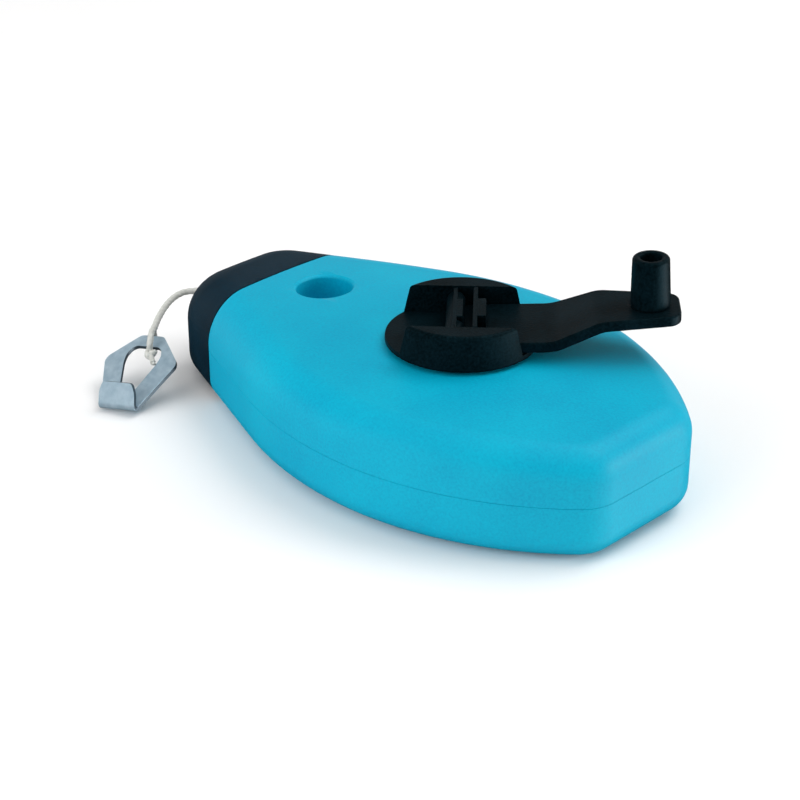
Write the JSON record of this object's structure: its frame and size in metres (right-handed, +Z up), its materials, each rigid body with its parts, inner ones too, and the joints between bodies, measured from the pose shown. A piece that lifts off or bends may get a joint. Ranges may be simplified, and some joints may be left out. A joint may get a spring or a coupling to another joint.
{
  "type": "chalk line reel",
  "caption": "Hand-held chalk line reel: teardrop two-shell case, folding crank on a hub, plug-in nose cap, cotton line and stamped end hook.",
  "frame": {"origin": "on the spool axis, in the plane of the flat bottom that the case rests on", "axes": "+Z up along the spool axis, -X towards the nose where the line leaves, +X towards the tail"},
  "size_m": [0.1291, 0.0765, 0.0451],
  "materials": {
    "case_plastic": "glossy moulded ABS, cyan blue",
    "cap_plastic": "fine matte, navy black",
    "crank_plastic": "fine matte, black",
    "spool_plastic": "plain moulded, white",
    "plated_steel": "zinc plated",
    "line_cotton": "twisted cotton line",
    "wiper_wool": "pressed felt"
  },
  "bodies": {
    "case": {"lower_shell": "case_plastic", "upper_shell": "case_plastic", "case_screws": "plated_steel", "thrust_washer": "spool_plastic", "shaft_seal": "wiper_wool", "line_lead": "line_cotton"},
    "reel": {"spool_drum": "spool_plastic", "spool_flange": "spool_plastic", "wound_core": "line_cotton", "wound_line": "line_cotton", "crank_hub": "crank_plastic", "hub_screw": "plated_steel", "hub_washer": "plated_steel"},
    "arm": {"crank_arm": "crank_plastic", "knob_pin": "plated_steel"},
    "knob": {"crank_knob": "crank_plastic"},
    "cap": {"nose_cap": "cap_plastic", "wiper_felt": "wiper_wool", "line_eyelet": "plated_steel"},
    "line": {"line_run": "line_cotton", "line_tail": "line_cotton", "line_knot": "line_cotton"},
    "hook": {"line_hook": "plated_steel"}
  },
  "joints": [
    {"name": "crank_turn", "type": "hinge", "parent": "case", "child": "reel", "pos_m": [0, 0, 0.026], "axis": [0, 0, 1], "continuous": true},
    {"name": "arm_fold", "type": "hinge", "parent": "reel", "child": "arm", "pos_m": [-0.00104, -0.00094, 0.0306], "axis": [0.6691, -0.7431, 0], "range_deg": [0, 165]},
    {"name": "knob_spin", "type": "hinge", "parent": "arm", "child": "knob", "pos_m": [0.02739, 0.02466, 0.03961], "axis": [-0.0311, -0.028, 0.9991], "continuous": true},
    {"name": "cap_pull", "type": "slide", "parent": "case", "child": "cap", "axis": [-1, 0, 0], "range_m": [0, 0.04]},
    {"name": "line_pull", "type": "slide", "parent": "cap", "child": "line", "axis": [-0.9278, -0.373, 0], "range_m": [0, 0.04]},
    {"name": "hook_swing", "type": "hinge", "parent": "line", "child": "hook", "pos_m": [-0.0714, -0.0227, 0.00865], "axis": [-0.9128, -0.3969, -0.0958], "range_deg": [0, 100]}
  ]
}
